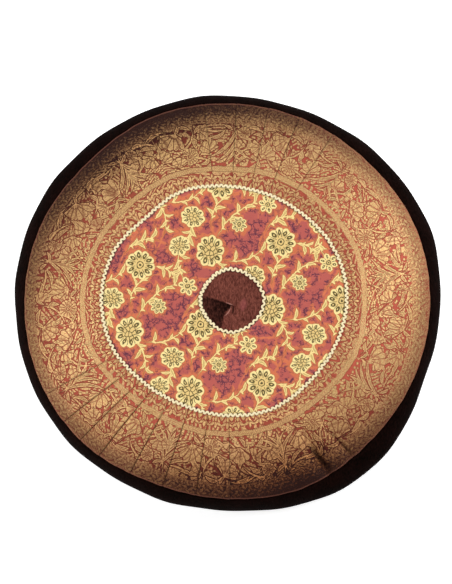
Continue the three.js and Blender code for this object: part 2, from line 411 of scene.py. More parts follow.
# Each gore carries a straight length of the strip: u runs along it and v across it, in metres, with v = 0
# on the plain stripe, so the stripe is straight in a gore and bends at each pleat.
def layOutStrip(piece, stations, angles):
    places = len(brocade["across"])
    starts, ends = pleatAngles[:-1], pleatAngles[1:]
    inner, outer = [[radiusAt(ring, e)[:, None] * np.stack([np.cos(e), np.sin(e)], -1) for e in (starts, ends)]
                    for ring in ("stripe", "seam")]
    width = np.linalg.norm(outer[1] - outer[0], axis=-1)
    begin = np.concatenate([[0], np.cumsum(width)[:-1]])
    along = (inner[1] - inner[0]) / np.linalg.norm(inner[1] - inner[0], axis=-1, keepdims=True)
    outward = np.stack([along[:, 1], -along[:, 0]], -1)
    mid = (inner[0] + inner[1]) / 2
    gore = np.repeat(np.arange(pleatCount), places)
    shares = np.append(brocade["across"][1:], 1.0)
    nextAngles = (starts[:, None] + (ends - starts)[:, None] * shares[None, :]).ravel()

    def spread(angle):  # (u, v) of every row at each column's angle, in the frame of the column's gore
        point = skinPoint(stations[:, None], angle[None, :])[..., :2] - mid[gore][None]
        u = (point * along[gore][None]).sum(-1) + (begin + width / 2)[gore][None]
        return np.stack([u, (point * outward[gore][None]).sum(-1)], -1)

    near, far = spread(angles), spread(nextAngles)
    near, far = [np.concatenate([side, side[::-1]]) for side in (near, far)]
    following = (np.arange(len(near)) + 1) % len(near)
    corners = np.stack([near, near[following], far[following], far], 2)  # rows, columns, corners, uv
    layer = piece.data.uv_layers.new(name="strip")
    layer.data.foreach_set("uv", corners.reshape(-1).astype(np.float32))
    piece["stripLength"] = float(width.sum())
    both = np.concatenate([stations, stations[::-1]])
    # painted shade along each pleat line and in the bottom of the creases, stored in the pleat attribute
    foldShadeMask = np.clip(pleatFirmness(angles) * 1.3 - 0.3, 0, 1) * (np.arange(len(angles)) % places == 0)
    foldShadeMask = np.tile(foldShadeMask, (len(both), 1))
    for depth, pleat, half, *rest in brocade["creases"]:
        shaded = depth / 4 * creaseAt(pleat, half * 0.6, *rest, both[:, None], angles[None, :])
        foldShadeMask = np.maximum(foldShadeMask, shaded * (1 - smooth(3.9, 3.97, both))[:, None])
    for name, values in (("station", np.repeat(both, len(angles))), ("pleat", foldShadeMask.ravel())):
        piece.data.attributes.new(name, "FLOAT", "POINT").data.foreach_set("value", values)


# millimetres; stations are from, to and how many rows
printed = {"columns": 234, "stations": (1.015, 1.988, 34), "lift": 1.2, "wave": 0.35, "thick": 0.8}
middleCloth = {"columns": 104, "stations": (0.05, 0.985, 18), "lift": 1.2, "thick": 0.9}


def printedLift(s, a):
    wave = ripple(a, (5, 11, 17), 21) * np.sin(math.pi * np.clip(s - 1, 0, 1))
    return printed["lift"] + printed["wave"] * wave


# The middle is caught down at one point, with a hollow brushed wedge between two folds at its lower left.
tuft = {
    "place": (9.0, -6.5),  # millimetres
    "upper": 163.0,  # directions of the folds, in degrees
    "lower": 211.0,
    "curl": 32.0,  # how far the lower fold turns on its way to the edge
    "reach": 36.0,  # millimetres from the point to the edge
    "dimple": (2.2, 5),  # depth, width
    "hollow": 2.0,
    "folds": [(-1, 1.1), (1.1, 1.6), (1.75, 0.8)],  # place across the wedge, height
    "foldWidth": 0.16,
}


def centreLift(s, a):
    radius = centreEdge(a) * np.minimum(s, 1)
    x, y = radius * np.cos(a) / mm - tuft["place"][0], radius * np.sin(a) / mm - tuft["place"][1]
    away = np.hypot(x, y)
    held = smooth(0.0, 6.0, away) * (1 - smooth(0.7, 0.97, s))
    depth, width = tuft["dimple"]
    lift = -depth * hump(away, 0, width)
    upper = math.radians(tuft["upper"])
    lower = np.radians(tuft["lower"] + tuft["curl"] * np.minimum(away / tuft["reach"], 1))
    between = turned(np.arctan2(y, x) - (upper + lower) / 2) / ((lower - upper) / 2)
    hollow = -tuft["hollow"] * np.exp(-between ** 4)
    for edge, height in tuft["folds"]:
        hollow = hollow + height * hump(between, edge, tuft["foldWidth"])
    return middleCloth["lift"] + lift + hollow * held


# Shader and geometry maths on sockets

class Wire:
    def __init__(self, tree, socket):
        self.tree, self.socket = tree, socket

    def node(self, kind, settings, sockets, output=0):
        made = self.tree.nodes.new(kind)
        for name, value in settings.items():
            setattr(made, name, value)
        for name, value in sockets.items():
            if isinstance(value, Wire):
                self.tree.links.new(value.socket, made.inputs[name])
            elif value is not None:
                made.inputs[name].default_value = value
        return Wire(self.tree, made.outputs[output])

    def calc(self, operation, *others, scale=None):
        terms = [self, *others]
        if any(isinstance(term, Wire) and term.socket.type in ("VECTOR", "RGBA") for term in terms):
            terms = [term if isinstance(term, (Wire, tuple)) else (term,) * 3 for term in terms]
            sockets = dict(enumerate(terms))
            if scale is not None:
                sockets["Scale"] = scale
            single = operation in ("LENGTH", "DOT_PRODUCT")
            return self.node("ShaderNodeVectorMath", {"operation": operation}, sockets, 1 if single else 0)
        return self.node("ShaderNodeMath", {"operation": operation}, dict(enumerate(terms)))

    def __rsub__(self, other):
        return self.calc("MULTIPLY_ADD", -1.0, other)

    def __abs__(self):
        return self.calc("ABSOLUTE")

    def sine(self):
        return self.calc("SINE")

    def size(self):
        return self.calc("LENGTH")

    def dot(self, x, y):
        return self.calc("DOT_PRODUCT", (x, y, 0.0))

    def clamped(self, low):
        return self.max(low).min(1.0)

    def vector(self, x, y, z=0.0):
        return self.node("ShaderNodeCombineXYZ", {}, {"X": x, "Y": y, "Z": z})

    def parts(self):
        split = self.tree.nodes.new("ShaderNodeSeparateXYZ")
        self.tree.links.new(self.socket, split.inputs[0])
        return Wire(self.tree, split.outputs[0]), Wire(self.tree, split.outputs[1])

    def within(self, blur=0.2):  # 1 where a distance in millimetres is below nought, 0 where it is above
        return self.node("ShaderNodeMath", {"operation": "MULTIPLY_ADD", "use_clamp": True},
                         {0: self, 1: -1 / blur, 2: 0.5})

    def lined(self, place, half=0.4, blur=0.4):  # 1 along a line where the distance is place, in millimetres
        return (abs(self - place) - half).within(blur)

    def mixed(self, first, second):  # this share of the second colour in the first
        return self.node("ShaderNodeMix", {"data_type": "RGBA"}, {0: self, 6: first, 7: second}, 2)

    def noise(self, detail=2.0, roughness=0.5, output=0):  # output 1 is three noises, as a colour
        return self.node("ShaderNodeTexNoise", {}, {"Vector": self, "Scale": 1.0, "Detail": detail,
                                                    "Roughness": roughness}, output)

    def voronoi(self, feature="F1"):
        return self.node("ShaderNodeTexVoronoi", {"voronoi_dimensions": "2D", "feature": feature},
                         {"Vector": self, "Scale": 1.0})


for method, operation in {"__add__": "ADD", "__radd__": "ADD", "__sub__": "SUBTRACT", "__mul__": "MULTIPLY",
                          "__rmul__": "MULTIPLY", "__truediv__": "DIVIDE", "__pow__": "POWER",
                          "max": "MAXIMUM", "min": "MINIMUM"}.items():
    setattr(Wire, method, functools.partialmethod(Wire.calc, operation))


def lowest(wires):
    return functools.reduce(Wire.min, wires)


def highest(wires):
    return functools.reduce(Wire.max, wires)


def heading(degrees):
    return math.cos(math.radians(degrees)), math.sin(math.radians(degrees))


def colour(red, green, blue):
    def linear(value):
        value /= 255
        return value / 12.92 if value <= 0.04045 else ((value + 0.055) / 1.055) ** 2.4
    return linear(red), linear(green), linear(blue), 1.0


def newMaterial(name):
    material = bpy.data.materials.new(name)
    material.use_nodes = True
    tree = material.node_tree
    tree.nodes.clear()
    shader = tree.nodes.new("ShaderNodeBsdfPrincipled")
    output = tree.nodes.new("ShaderNodeOutputMaterial")
    tree.links.new(shader.outputs[0], output.inputs[0])
    return material, Wire(tree, None), shader


def objectPlace(start):  # millimetres
    return start.node("ShaderNodeTexCoord", {}, {}, "Object") * 1000.0


def facePlace(start):  # millimetres from the middle of the face
    return objectPlace(start) + tuple(middle * 1000.0)


def feed(shader, wires, bumpHeight=None, bumpDepth=0.2):
    # bumpDepth is in millimetres
    tree = shader.id_data
    for name, wire in wires.items():
        if isinstance(wire, Wire):
            tree.links.new(wire.socket, shader.inputs[name])
        else:
            shader.inputs[name].default_value = wire
    if bumpHeight is not None:
        bump = bumpHeight.node("ShaderNodeBump", {}, {"Height": bumpHeight, "Distance": bumpDepth * mm,
                                                      "Strength": 1.0}, "Normal")
        tree.links.new(bump.socket, shader.inputs["Normal"])


# Ric-rac braid and its stitches

braid = {
    "sizes": {"Width": 2.8, "Thickness": 1.2, "Swing": 1.35,  # millimetres
              "Stitch length": 2.4, "Stitch pitch": 3.4, "Stitch width": 0.5},
    "teeth": 156,
    "centreTeeth": 40,
    "pointsPerTooth": 12,
    "flatten": 1.3,  # above 1, the tops of the teeth are flatter than a sine's
    "lift": 2.9,
    "wobble": 0.5,
}


def braidTree():
    tree = bpy.data.node_groups.new("ric-rac along an edge", "GeometryNodeTree")
    kinds = {"Geometry": "Geometry", **dict.fromkeys(braid["sizes"], "Float"), "Points per tooth": "Float",
             "Braid": "Material", "Thread": "Material"}
    for name, kind in kinds.items():
        tree.interface.new_socket(name=name, in_out="INPUT", socket_type="NodeSocket" + kind)
    tree.interface.new_socket(name="Geometry", in_out="OUTPUT", socket_type="NodeSocketGeometry")
    start = Wire(tree, None)

    def made(kind, sockets, settings={}):
        return start.node("GeometryNode" + kind, settings, sockets)

    given = tree.nodes.new("NodeGroupInput")
    inputs = {socket.name: Wire(tree, socket) for socket in given.outputs if socket.name}
    path = made("MeshToCurve", {"Mesh": inputs["Geometry"]})
    tangent = made("InputTangent", {})
    sideways = tangent.calc("CROSS_PRODUCT", (0, 0, 1)).calc("NORMALIZE")
    turnOfTooth = made("InputIndex", {}) * tau / inputs["Points per tooth"]
    wave = (turnOfTooth.sine() * braid["flatten"]).clamped(-1.0) * inputs["Swing"]
    swung = made("SetPosition", {"Geometry": path, "Offset": sideways.calc("SCALE", scale=wave)})
    level = made("SetCurveNormal", {"Curve": swung}, {"mode": "Z_UP"})
    ring = made("CurvePrimitiveCircle", {"Resolution": 10, "Radius": 0.5})
    size = start.vector(inputs["Width"], inputs["Thickness"], 1.0)
    section = made("Transform", {"Geometry": ring, "Scale": size})
    tape = made("CurveToMesh", {"Curve": level, "Profile Curve": section})
    tape = made("SetMaterial", {"Geometry": tape, "Material": inputs["Braid"]})
    spots = made("ResampleCurve", {"Curve": path, "Length": inputs["Stitch pitch"]}, {"mode": "LENGTH"})
    dash = made("MeshIcoSphere", {"Radius": 0.5, "Subdivisions": 2})
    size = start.vector(inputs["Stitch width"], inputs["Stitch width"], inputs["Stitch length"])
    dash = made("Transform", {"Geometry": dash, "Scale": size})
    facing = start.node("FunctionNodeAlignRotationToVector", {"axis": "Z"}, {"Vector": tangent})
    sewn = made("InstanceOnPoints", {"Points": spots, "Instance": dash, "Rotation": facing})
    rise = start.vector(0.0, 0.0, inputs["Thickness"] * 0.5)
    sewn = made("TranslateInstances", {"Instances": sewn, "Translation": rise, "Local Space": False})
    sewn = made("RealizeInstances", {"Geometry": sewn})
    sewn = made("SetMaterial", {"Geometry": sewn, "Material": inputs["Thread"]})
    both = tree.nodes.new("GeometryNodeJoinGeometry")
    for part in (sewn, tape):
        tree.links.new(part.socket, both.inputs[0])
    smoothed = made("SetShadeSmooth", {"Geometry": Wire(tree, both.outputs[0])})
    tree.links.new(smoothed.socket, tree.nodes.new("NodeGroupOutput").inputs[0])
    return tree


def ricRac(name, station, teeth, seed, tree, cloth, thread):
    count = teeth * braid["pointsPerTooth"]
    angles = wholeTurn(count)
    wobble = braid["wobble"] * ripple(angles, (13, 29, 41, 67), seed)
    points = lifted(station, angles, braid["lift"]) + polar(wobble * mm, angles, 0 * angles)
    mesh = bpy.data.meshes.new(name)
    mesh.from_pydata(points.tolist(), [(k, (k + 1) % count) for k in range(count)], [])
    path = placed(name + "_path", mesh)
    nodes = path.modifiers.new("braid", "NODES")
    nodes.node_group = tree
    values = {name: size * mm for name, size in braid["sizes"].items()}
    values.update({"Points per tooth": float(braid["pointsPerTooth"]), "Braid": cloth, "Thread": thread})
    for item in tree.interface.items_tree:
        if item.in_out == "INPUT" and item.name in values:
            nodes[item.identifier] = values[item.name]
    evaluated = path.evaluated_get(bpy.context.evaluated_depsgraph_get())
    braided = placed(name, bpy.data.meshes.new_from_object(evaluated))
    bpy.data.objects.remove(path)
    return braided


# Motifs. A pattern repeats in cells of the given size in millimetres; spot is a place counted in cells.
def around(spot, cell, x, y):
    shifted = (spot + (0.5 - x / cell[0], 0.5 - y / cell[1], 0.0)).calc("FRACTION")
    return shifted.calc("MULTIPLY_ADD", (cell[0], cell[1], 0.0), (-cell[0] / 2, -cell[1] / 2, 0.0))


def leaf(spot, cell, x, y, degrees, half, width, bend=0.0):
    return petal(around(spot, cell, x, y), degrees, half, width, bend)


def petal(at, degrees, half, width, bend=0.0, out=0.0):
    # a pointed lobe; out moves its middle away from the place that at is measured from
    c, s = heading(degrees)
    along = at.dot(c / half, s / half)
    along = along - out / half if out else along
    square = along * along
    across = at.dot(-s, c)
    if bend:
        across = across + square.calc("MULTIPLY_ADD", bend, -bend)
    return abs(across) + square.calc("MULTIPLY_ADD", width, -width)


def flower(at, radius, petals, notch, turn=0.0, eyes=True, rib=0.35):
    # returns the distance outside the flower's edge, and how much of its inner drawing is inked
    x, y = at.parts()
    angle = y.calc("ARCTAN2", x) * (petals / 2) + turn
    distance = at.size()
    wave = abs(angle.calc("COSINE"))
    edge = distance - wave.calc("MULTIPLY_ADD", radius * notch, radius * (1 - notch))
    between = (wave * distance * (2 / petals) - rib).within(0.3) * (distance * -1.0 + radius * 0.34).within(0.8)
    ink = between * edge.calc("MULTIPLY_ADD", 1.0, 0.5).within(0.6)
    heart = distance.lined(radius * 0.21, 0.6).max((distance - radius * 0.08).within(0.5))
    ink = ink.max(heart)
    if eyes:
        lengthways = (distance - radius * 0.66) * (1 / (radius * 0.17))
        sideways = abs(angle.sine()) * distance * (2 / petals / (radius * 0.085))
        eye = (lengthways * lengthways + sideways * sideways).calc("SQRT")
        ink = ink.max(eye.lined(0.85, blur=0.35))
    return edge, ink


def fan(at, degrees, radius, petals, spread=1.25):
    # petals spread to both sides of a direction from the base
    c, s = heading(degrees)
    angle = at.dot(-s, c).calc("ARCTAN2", at.dot(c, s))
    distance = at.size()
    wave = abs((angle * (petals / 2)).calc("COSINE"))
    edge = distance - wave.calc("MULTIPLY_ADD", radius * 0.12, radius * 0.88) * (1.0 - angle * angle * 0.13)
    edge = edge.max((abs(angle) - spread) * distance * 0.8)
    ribs = (wave * distance * (2 / petals) - 0.5).within(0.4) * (distance * -1.0 + radius * 0.22).within(0.8)
    return edge, ribs.max(distance.lined(radius * 0.3))


def palmette(at, degrees, radius, lobes):
    # a round bloom, a little longer one way, with eyes in its outer petals and rows of scales inside
    c, s = heading(degrees)
    own = at.vector(at.dot(c, s) * 0.88, at.dot(-s, c))
    edge, ink = flower(own, radius, lobes, 0.14)
    scales = (own * (1.9 / radius * 2)).voronoi("DISTANCE_TO_EDGE")
    inside = (own.size() - radius * 0.52).within(0.6)
    rim = own.size().lined(radius * 0.54, blur=0.3)
    drawn = ((scales - 0.1).within(0.08) * inside).max(rim)
    return edge, ink + inside * (drawn - ink)


# Gold-thread brocade. u runs along the strip and v across it, in millimetres; v = 0 is the plain stripe.
strip = {
    "repeats": 9,
    "strandPitch": 3.6,  # of the curling strands that fill the ground, roughly, in millimetres
    "height": 400.0,  # of a cell: more than the strip's width, so nothing repeats across it
    "rosettes": [(77, 20, 12.5, 15), (172, 54, 9, 11)],  # u, v, radius, petals
    "fans": [  # u, v, direction, radius, petals
        (41, 20, 75, 26, 15), (63, 58, -150, 17, 11), (101, 58, -60, 25, 15), (131, 20, 115, 21, 13),
        (146, 36, -30, 17, 11), (106, 8, 95, 15, 9), (180, 26, 70, 18, 11),
    ],
    "fronds": [  # u, v, angle, half length, half width, bend
        (18, 40, -50, 32, 2.6, -9), (12, 30, -55, 22, 2.2, -6), (7, 24, -62, 15, 1.9, -4),
        (26, 52, -28, 14, 2.6, -5), (0, 28, 90, 19, 2.6, 0),
    ],
    "scrolls": [  # u, v, angle, half length, bend
        (52, 36, 60, 24, 9), (84, 42, -50, 22, -8), (118, 30, 70, 24, -9), (152, 52, 20, 22, 8),
        (168, 20, -40, 20, 8), (66, 12, 10, 20, 5), (94, 26, 120, 18, 7), (30, 60, 5, 18, -5), (130, 60, -10, 20, 6),
    ],
    "leaves": [
        (58, 46, 35, 10, 3.0, 4), (60, 58, 150, 10, 3.0, -4), (72, 41, 80, 9, 3.2, 3), (84, 60, 10, 11, 2.6, 4),
        (92, 38, 60, 9, 3.0, -3), (92, 12, 30, 7, 2.4, 2), (57, 12, 150, 8, 2.6, 3), (130, 61, 165, 10, 2.8, -3),
        (131, 40, 115, 9, 3.0, 3), (133, 13, 60, 7, 2.4, -2), (150, 49, 20, 10, 3.0, 4), (166, 38, 100, 9, 2.8, 3),
        (190, 58, 150, 8, 2.4, 2), (170, 14, 140, 8, 2.6, -3), (158, 62, 5, 8, 2.4, 2), (42, 61, 10, 9, 2.6, -3),
        (98, 62, 120, 7, 2.4, 2), (186, 30, 60, 9, 2.6, -3), (10, 60, 30, 7, 2.2, 2), (46, 12, 35, 7, 2.2, 2),
    ],
    "bandLeaves": [  # u, v, angle, half length, half width, bend; inside the stripe, twelve times a repeat
        (0, -11, 90, 4.5, 1.9, 0), (5.2, -13, 35, 4.6, 1.6, 1), (-5.2, -13, 145, 4.6, 1.6, -1),
        (6, -21, 65, 4.2, 1.7, -1), (10, -21, 115, 4.2, 1.7, 1), (0, -19, 90, 3.2, 1.6, 0),
    ],
    "guardLeaves": [  # the same, in the guard, with v counted from 60
        (0, 12, 50, 4.6, 1.7, 1), (4.5, 17.5, 130, 4.8, 1.8, -1), (8.5, 12.5, 75, 4.2, 1.6, 1),
        (12.5, 18, 15, 4.6, 1.7, -1), (8.5, 23, 165, 4.0, 1.5, 1), (1, 24, 40, 3.6, 1.4, -1),
    ],
    "bandRepeats": 12,  # of the two rows of leaves in one repeat
    "bandHeight": 60.0,
    "zigzag": (-23.5, 15.0, 1.0),  # v, height, half width
    "stemHalf": 1.3,  # half width of the scrolls
    "stripeHalf": 3.4,
    "stripeGold": 0.92,
    "mainEdge": 67.5,  # where the guard begins
    "pitches": {"hatching": 3.1, "twill": 1.3, "weft": 0.8},
    "shadeFrom": 3.08,  # stations where the painted shade towards the edge, the painted shade along the folds, the painted shade at the rim and the turned hem begin
    "foldShadeFrom": 2.75,
    "rimShadeFrom": 3.74,
    "hemFrom": 3.968,
    # how strong the painted shade on the gold is by direction from the middle, and the directions with more or less
    # painted shade:
    # degrees, narrowness, more
    "directionShade": {"even": 0.380, "x": -0.097, "y": -0.065, "squares": 0.255, "product": -0.410, "third": 0.081},
    "shadedPatches": [(292, 50, 0.21), (119, 18, 0.16), (241, 35, -0.12), (330, 20, -0.07)],
}


def brocadeMaterial(length):
    material, start, shader = newMaterial("gold-thread brocade")
    flat = start.node("ShaderNodeUVMap", {"uv_map": "strip"}, {}) * 1000.0
    station = start.node("ShaderNodeAttribute", {"attribute_name": "station"}, {}, "Fac")
    # the pleat attribute is the painted shade along the pleats and creases
    foldShadeMask = start.node("ShaderNodeAttribute", {"attribute_name": "pleat"}, {}, "Fac")
    place = flat + ((flat * 0.22).noise(1.0, output=1) - 0.5) * (1.8, 1.8, 0.0)
    cell = (length * 1000 / strip["repeats"], strip["height"])
    spot = place * (1 / cell[0], 1 / cell[1], 0.0)
    u, v = place.parts()

    # motifs: rosettes, fans, sprays of long fronds, loose leaves and scrolling stems
    rosettes = [flower(around(spot, cell, x, y), *rest, 0.1, eyes=False, rib=0.45)
                for x, y, *rest in strip["rosettes"]]
    fans = [fan(around(spot, cell, x, y), *rest) for x, y, *rest in strip["fans"]]
    flowers = lowest([edge for edge, _ in rosettes + fans])
    ribs = highest([ink for _, ink in rosettes] + [ink * (edge - 0.5).within(0.5) for edge, ink in fans])
    fronds = [leaf(spot, cell, x * side, y, degrees if side > 0 else 180 - degrees, half, width, bend * side)
              for x, y, degrees, half, width, bend in strip["fronds"] for side in ((1, -1) if x else (1,))]
    stems = [leaf(spot, cell, *place, strip["stemHalf"], bend) for *place, bend in strip["scrolls"]]
    leaves = lowest(fronds + [leaf(spot, cell, *row) for row in strip["leaves"]] + stems)
    motif = flowers.min(leaves)

    # curling strands fill the ground, apart from bare patches
    flow = (flat * 0.014 + (0.0, 5.0, 0.0)).noise(0.0) * (72.0 / strip["strandPitch"])
    curls = ((flow + v * (0.35 / strip["strandPitch"])) * tau).sine()
    cut = (flat * 0.09 + (7.0, 2.0, 0.0)).noise(1.0)
    strands = (curls * -1.0 - 0.25).within(0.5) * (cut * -1.0 + 0.42).within(0.04)
    sprigs = (place * 0.17).voronoi() * 6.0
    strands = strands.max((sprigs - 1.9).within(0.4))
    room = (motif * -1.0 + 1.3).within(0.4)
    veins = (abs((flow * (0.42 * tau) + (u + v) * 0.25).sine()) - 0.4).within(0.5)
    veined = veins * (motif + 0.8).within(0.6)
    gold = (strands * room).max(motif.within(0.4)) * (1.0 - ribs * 0.75) * (1.0 - veined * 0.3)
    dark = motif.lined(0.55).max(sprigs.lined(1.9, 0.3, 0.3) * room * 0.8)
    dark = dark.max(veined * 0.4).max(ribs * 0.6)
    dark = dark.max(leaves.lined(-1.75, 0.25) * 0.7)

    # the band inside the stripe: a zigzag with small blooms in its bays
    inner = (v + strip["stripeHalf"] + 1.0).within(0.3)
    low, height, half = strip["zigzag"]
    tooth = (u * (strip["bandRepeats"] * 2 / cell[0])).calc("PINGPONG", 1.0) * height
    zigzag = (v - tooth).lined(low, half, 0.5)
    bandCell = (cell[0] / strip["bandRepeats"], strip["bandHeight"])
    band = spot * (strip["bandRepeats"], cell[1] / bandCell[1], 0.0)
    sprays, guardSprays = [lowest([leaf(band, bandCell, *row) for row in strip[name]])
                           for name in ("bandLeaves", "guardLeaves")]
    bandCurls = (curls * -1.0 + 0.05).within(0.5) * (1.6 - sprays).within(0.4) * 0.85
    bandGold = zigzag.max(sprays.within(0.4)).max(bandCurls)
    bandDark = sprays.lined(0.5).max(veins * 0.5)

    # the guard: the strip's plainer outer edge
    fine = (place * 0.42).voronoi() * 2.4
    guard = (v * -1.0 + strip["mainEdge"]).within(0.4)
    lines = abs(v - strip["mainEdge"] - 3.5).lined(2.0, 0.6, 0.3)
    guardGold = ((fine - 1.05).within(0.6) * 0.6 + 0.12).max(lines * 0.9)
    guardGold = guardGold.max((curls * -1.0 - 0.3).within(0.6) * 0.7)
    guardGold = guardGold.max(guardSprays.within(0.4))
    guardDark = (veins * 0.35).max(guardSprays.lined(0.5) * 0.6)

    stripe = (abs(v) - strip["stripeHalf"]).within(0.3)
    pitches = strip["pitches"]
    hatching = ((u + v) * (tau / pitches["hatching"])).sine() * 0.16 + 0.24
    for where, laidGold, laidDark in ((inner, bandGold, bandDark), (guard, guardGold, guardDark),
                                      (stripe, strip["stripeGold"], hatching)):
        gold, dark = gold + where * (laidGold - gold), dark + where * (laidDark - dark)
    dark = dark.max(abs(v).lined(strip["stripeHalf"] + 0.4, blur=0.3) * 0.7)

    # painted shade: the gold is darkened towards the edge, most at the foot and the head of the face and least at
    # its sides, where lamps at the sides light it
    x, y = (facePlace(start) * (1.0, 1.0, 0.0)).calc("NORMALIZE").parts()
    directionShade = strip["directionShade"]
    directionalShade = (y * y - x * x) * directionShade["squares"] + x * y * directionShade["product"] + x * directionShade["x"] + y * directionShade["y"]
    directionalShade = directionalShade + x * x * y * directionShade["third"] + directionShade["even"]
    directionalShade = directionalShade - (x - y - 1.0).max(0.0) * 0.3 + y.max(0.0) * 0.05
    for degrees, narrow, more in strip["shadedPatches"]:
        c, s = heading(degrees)
        directionalShade = directionalShade + (x * c + y * s).max(0.0) ** narrow * more

    # colours
    cloudy = (flat * 0.02).noise(2.0)
    warm = (flat * 0.3).noise(3.0, 0.7)
    grain = (flat * 0.5).noise(1.0, 0.7)
    thread = cloudy.mixed(colour(198, 163, 113), colour(180, 153, 90))
    thread = (warm * 0.5).mixed(thread, colour(216, 182, 135))
    ground = warm.mixed(colour(156, 64, 52), colour(194, 98, 74))
    twill = ((u + v * 1.7) * (tau / pitches["twill"])).sine()
    weft = (v * (tau / pitches["weft"])).sine()
    shade = (gold * (twill * 0.05 + weft * 0.04 + grain * 2.6 - 0.42)).clamped(0.0)
    # painted light and shade: where the directional shade is strong, the ground is darker, the thread lighter and
    # the dark drawing stronger
    tone = shade.mixed(ground * (1.0 - directionalShade * 0.5), thread * (directionalShade * 0.24 + 0.98))
    # painted glint: a thin line inside each motif's edge stays bright within the painted shade
    glintEdges = motif.lined(-0.65) * (1.0 - inner) * (1.0 - guard)
    tone = (dark * (directionalShade * (0.85 - inner * 0.7) + 0.45)).mixed(tone, colour(94, 44, 28))
    # painted light and shade by direction from the middle; it fades towards the edge, except on the inner band
    edgeward = ((station - strip["shadeFrom"]) * 1.3).clamped(0.0)
    paintedLightByDirection = directionalShade * 0.22 - 0.06 - (x * -1.0 - y * 0.3).max(0.0) * 0.06
    tone = tone * (inner.max(0.6 - edgeward * 0.6) * paintedLightByDirection + 1.0)

    # painted shade on the gold: the directional shade towards the edge, mottled at random by the worn noise, a
    # little more at the very edge, and a little on the inner band towards the upper right; the ground darkens more
    # than the thread
    worn = cloudy * 0.5 + warm * 1.5 + grain * 0.6 - 0.3
    paintedShade = edgeward ** (y.max(0.0) * 0.4 + 1.25) * directionalShade * worn * 0.96 + edgeward ** 5.0 * 0.1
    paintedShade = paintedShade + inner * (x * 0.7 + y * 0.3).max(0.0) * 0.1
    unshaded = (1.0 - paintedShade * (1.6 - shade * (glintEdges * 0.5 + 0.85))).max(0.0) ** 1.6
    # painted shade: the darkened gold also turns redder
    faded = (paintedShade * (0.36 - y * 0.12) + directionalShade * (0.05 - y * 0.04)).min(0.6)
    tone = tone * start.vector(1.0, 1.0 - faded, 1.0 - faded * 1.25)
    # painted shade at the rim, where the strip turns down to the seam, and along the pleats and creases; all the
    # painted shade mixes in a near-black brown
    rim = ((station - strip["rimShadeFrom"]) * 5.0).clamped(0.0) * (directionalShade * 0.24 + 0.28)
    foldShadeDepth = ((station - strip["foldShadeFrom"]) * 4.0).clamped(0.25) * 0.8
    unshaded = unshaded * (1.0 - foldShadeMask * foldShadeDepth) * (1.0 - rim)
    tone = (1.0 - unshaded).mixed(tone, colour(34, 9, 4))
    tone = ((station * -1.0 + strip["hemFrom"]).within(0.008) * 0.25).mixed(tone, colour(176, 110, 90))
    shine = gold * (1.0 - dark) * unshaded
    threads = gold * (1.0 - dark) * 0.7 + twill * 0.06 + weft * 0.1 + grain * 0.15
    feed(shader, {"Base Color": tone, "Metallic": shine * 0.8, "Roughness": 0.64 - shine * 0.2,
                  "Specular IOR Level": 0.12}, threads, 0.6)
    return material


# Flowered cotton print. The repeat lies on the bias of the disc.
cotton = {  # millimetres and degrees
    "cell": (117.0, 159.0),
    "turn": -44.3,
    "origin": (-36.3, -34.1),  # from the middle of the face
    "flowers": [  # x, y, radius, petals, notch
        (0, 0, 20.5, 10, 0.15), (67, 25, 13.0, 6, 0.38), (58, 136, 11.0, 8, 0.28),
    ],
    "palmettes": [(55, 82, 125, 19.5, 9), (20, 57, 80, 13.5, 7), (5, 99, 30, 15.0, 8)],  # x, y, angle, size, lobes
    "vines": [  # x, y, angle, half length, bend
        (52, 142, 84, 38, 8), (14, 78, -70, 15, 5), (42, 42, -38, 22, -7), (86, 68, -25, 24, 8),
        (93, 112, 62, 26, -7), (98, 20, 66, 20, 6), (24, 134, 100, 22, 7), (28, 16, 20, 14, 5),
    ],
    "stemHalf": 0.85,  # half width of the vines
    "leafPlaces": [(-0.72, 1), (-0.35, -1), (0.05, 1), (0.4, -1), (0.78, 1)],  # share of the vine, side
    "leafLengths": (5.5, 9.5),
    "leafLean": (30, 65),
    "spurred": 7.0,  # longer leaves have a spur at their base
    "halo": 4.2,  # width of the plain orange round every motif
    "threadPitch": 0.7,
}


